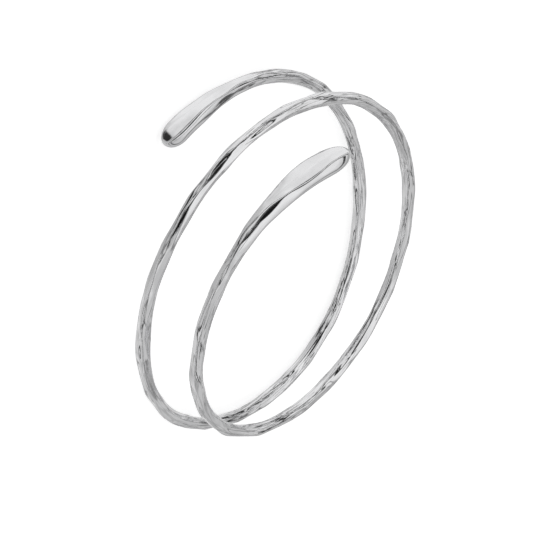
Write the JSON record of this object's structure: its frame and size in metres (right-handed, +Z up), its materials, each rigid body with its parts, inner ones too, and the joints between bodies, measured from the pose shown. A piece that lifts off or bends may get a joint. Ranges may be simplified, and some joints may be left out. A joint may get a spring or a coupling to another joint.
{
  "type": "spiral coil bracelet",
  "caption": "Open spiral bangle: hammered silver rod wound into a left-hand coil, its ends forged into flattened drops; worn round the wrist.",
  "frame": {"origin": "on the surface the bangle rests on, below the middle of its bounding box", "axes": "+Z up, with the coil lying on its side and its axis about 10 degrees from +Z; +X points from the coil's middle to the lower drop's tip"},
  "size_m": [0.0682, 0.0684, 0.0304],
  "materials": {
    "silver": "polished sterling silver, hand-hammered"
  },
  "bodies": {
    "root": {"coil_bangle": "silver"}
  },
  "joints": []
}
